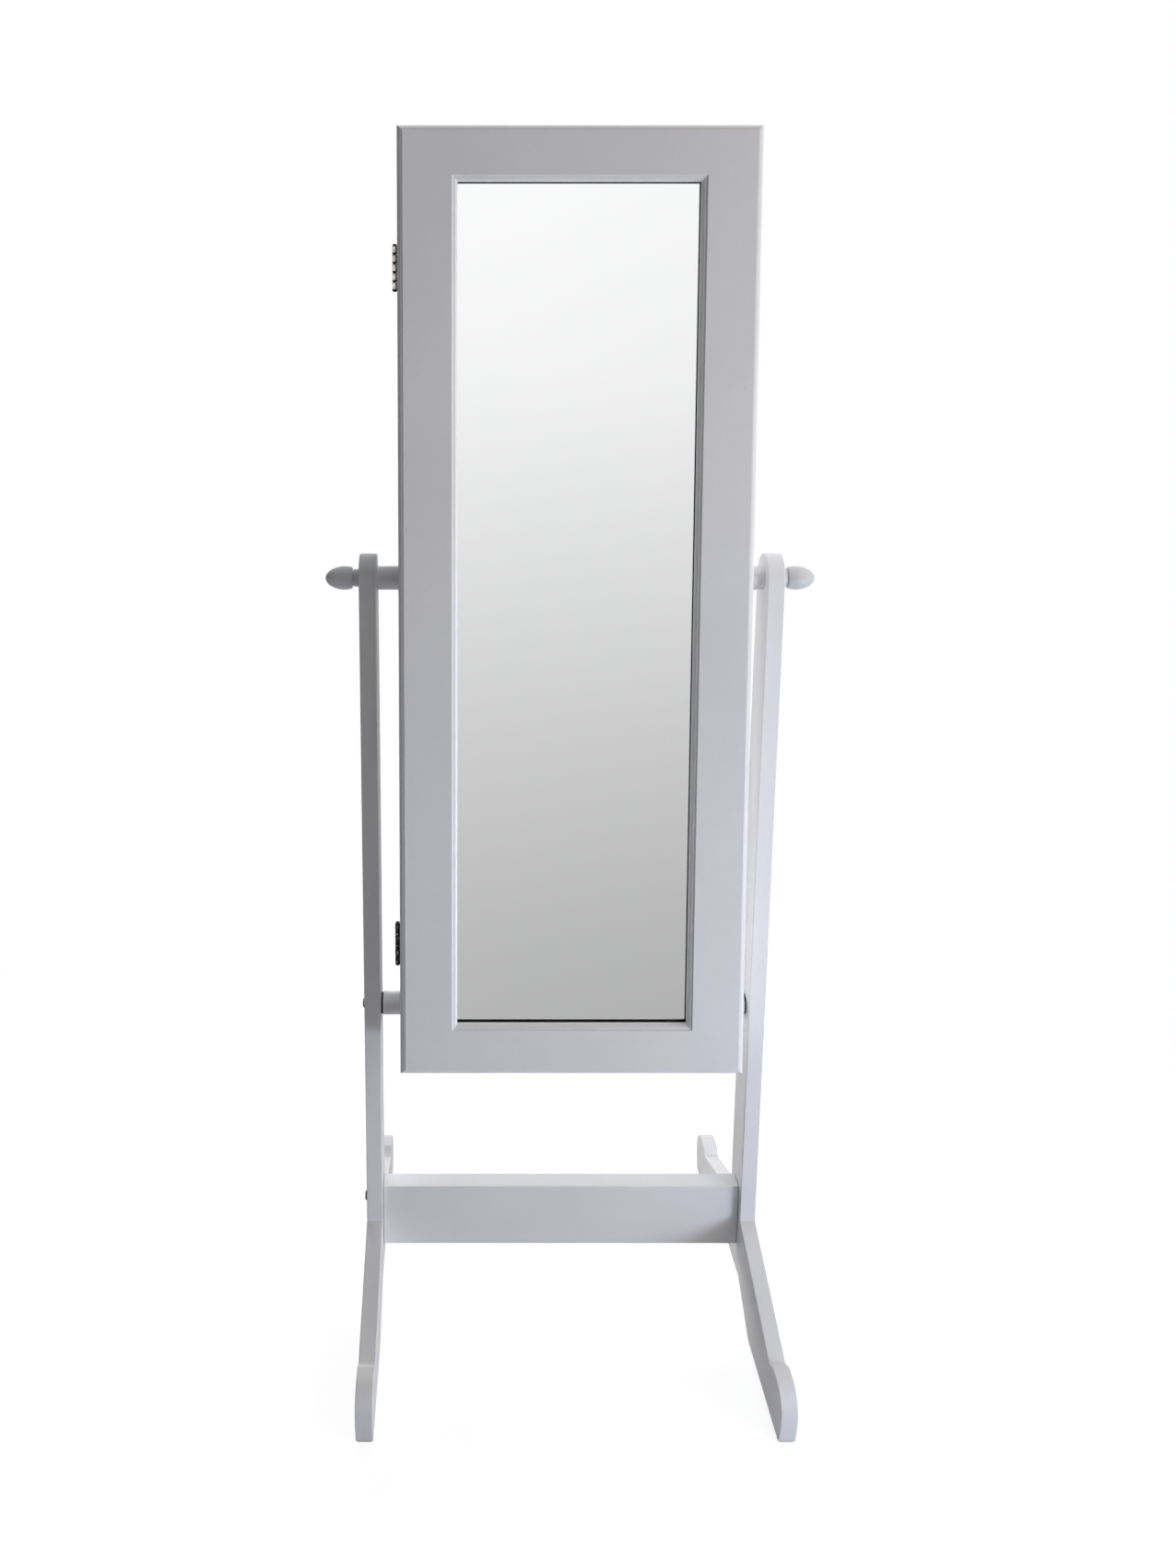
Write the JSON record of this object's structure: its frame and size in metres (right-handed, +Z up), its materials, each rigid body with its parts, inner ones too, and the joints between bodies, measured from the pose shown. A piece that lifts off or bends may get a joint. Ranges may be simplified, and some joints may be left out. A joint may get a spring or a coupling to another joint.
{
  "type": "cheval jewelry mirror cabinet",
  "caption": "Free-standing jewelry cabinet with a full-length mirror door, tilting between the two uprights of an arch-footed stand on round knobs.",
  "frame": {"origin": "on the floor, midway between the two feet, straight below the tilt axis; the bottom centre of the overall box", "axes": "+X to the viewer's right along the tilt axis, +Y away from the viewer (the mirror faces -Y), +Z up"},
  "size_m": [0.579, 0.47, 1.4604],
  "materials": {
    "white_paint": "satin white lacquer over wood and fibreboard",
    "mirror": "polished silvered glass",
    "velvet": "short black velvet",
    "hinge_metal": "brownish antique nickel plate",
    "bolt_steel": "blackened steel",
    "zinc_steel": "zinc-plated steel",
    "peg_chrome": "bright plated",
    "insert_brass": "plain brass",
    "black_rubber": "matte black",
    "pad_felt": "dark felt",
    "bare_wood": "bare beech",
    "hardboard": "brown hardboard",
    "catch_plastic": "white moulded plastic",
    "magnet": "dark sintered magnet"
  },
  "bodies": {
    "stand": {"left_upright": "white_paint", "left_foot": "white_paint", "left_upper_spacer": "white_paint", "left_lower_spacer": "white_paint", "left_lock_washer": "black_rubber", "left_lock_screw": "bolt_steel", "right_upright": "white_paint", "right_foot": "white_paint", "right_upper_spacer": "white_paint", "right_lower_spacer": "white_paint", "right_lock_washer": "black_rubber", "right_lock_screw": "bolt_steel", "crossbar": "white_paint", "crossbar_bolts": "bolt_steel", "crossbar_nuts": "zinc_steel", "crossbar_dowels": "bare_wood", "foot_dowels": "bare_wood", "foot_pads": "pad_felt"},
    "left_knob": {"left_knob": "white_paint", "left_pivot_bolt": "zinc_steel"},
    "right_knob": {"right_knob": "white_paint", "right_pivot_bolt": "zinc_steel"},
    "cabinet": {"case_right_side": "white_paint", "case_left_side": "white_paint", "case_top": "white_paint", "case_bottom": "white_paint", "back_panel": "white_paint", "back_lining": "velvet", "pivot_inserts": "insert_brass", "angle_inserts": "insert_brass", "necklace_rail": "white_paint", "necklace_pegs": "peg_chrome", "bracelet_rod": "velvet", "rod_cups": "white_paint", "ring_tray": "white_paint", "ring_rolls": "velvet", "catch_housings": "catch_plastic", "catch_magnets": "magnet", "case_hinge_leaves": "hinge_metal", "case_hinge_screws": "hinge_metal", "hinge_pins": "hinge_metal", "upper_shelf": "white_paint", "upper_shelf_lip": "white_paint", "middle_shelf": "white_paint", "middle_shelf_lip": "white_paint", "lower_shelf": "white_paint", "lower_shelf_lip": "white_paint"},
    "door": {"left_stile": "white_paint", "right_stile": "white_paint", "top_rail": "white_paint", "bottom_rail": "white_paint", "mirror_glass": "mirror", "mirror_backing": "hardboard", "door_lining": "velvet", "earring_bars": "velvet", "strike_plates": "zinc_steel", "door_hinge_leaves": "hinge_metal", "door_hinge_screws": "hinge_metal"}
  },
  "joints": [
    {"name": "cabinet_tilt", "type": "hinge", "parent": "stand", "child": "cabinet", "pos_m": [0, 0, 0.952], "axis": [-1, 0, 0], "range_deg": [-6.6, 0]},
    {"name": "door_hinge", "type": "hinge", "parent": "cabinet", "child": "door", "pos_m": [-0.2033, -0.05434, 0.95618], "axis": [0, -0.0767, -0.9971], "range_deg": [0, 135]},
    {"name": "left_knob_turn", "type": "hinge", "parent": "stand", "child": "left_knob", "pos_m": [-0.269, 0, 0.952], "axis": [-1, 0, 0], "range_deg": [0, 360]},
    {"name": "right_knob_turn", "type": "hinge", "parent": "stand", "child": "right_knob", "pos_m": [0.269, 0, 0.952], "axis": [1, 0, 0], "range_deg": [0, 360]}
  ]
}
